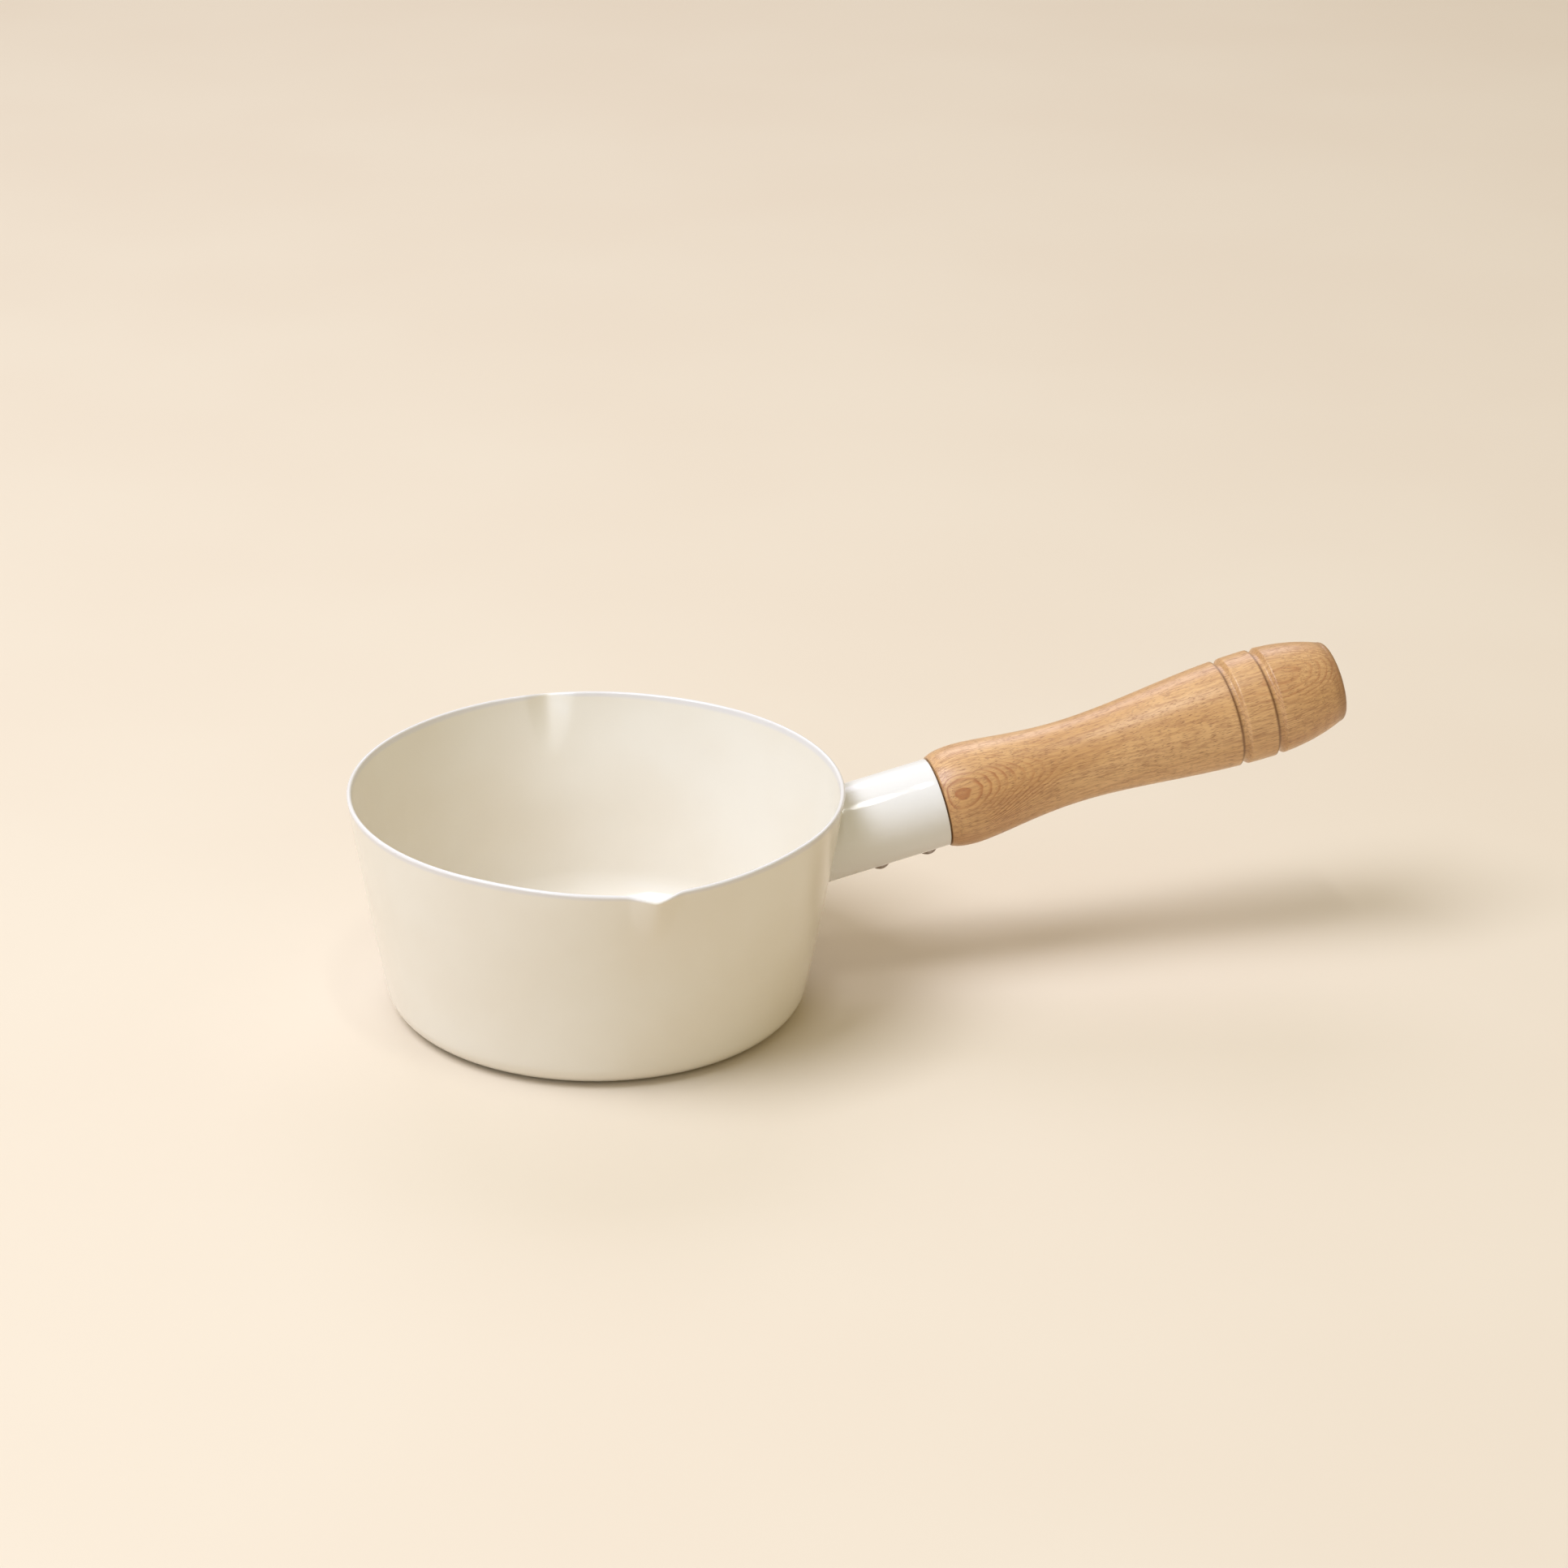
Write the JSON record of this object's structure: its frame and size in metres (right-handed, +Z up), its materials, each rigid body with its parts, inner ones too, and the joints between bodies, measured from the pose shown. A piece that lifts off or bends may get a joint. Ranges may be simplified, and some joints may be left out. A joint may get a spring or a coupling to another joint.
{
  "type": "milk pan",
  "caption": "Small open enamelled milk pan with pouring lips on both sides and a turned wooden grip screwed into a tilted tube socket.",
  "frame": {"origin": "centre of the bowl's flat base, on the surface that the pan stands on", "axes": "+Z up through the middle of the bowl, +X towards the handle, the two pouring lips at +Y and -Y"},
  "size_m": [0.2923, 0.1508, 0.09],
  "materials": {
    "bowl_enamel": "glossy ivory enamel",
    "socket_enamel": "glossy off-white enamel",
    "beech": "oiled satin beech",
    "screw_steel": "polished nickel-plated steel"
  },
  "bodies": {
    "root": {"bowl": "bowl_enamel", "handle_socket": "socket_enamel", "wooden_handle": "beech", "handle_screw_inner": "screw_steel", "handle_screw_outer": "screw_steel"}
  },
  "joints": []
}
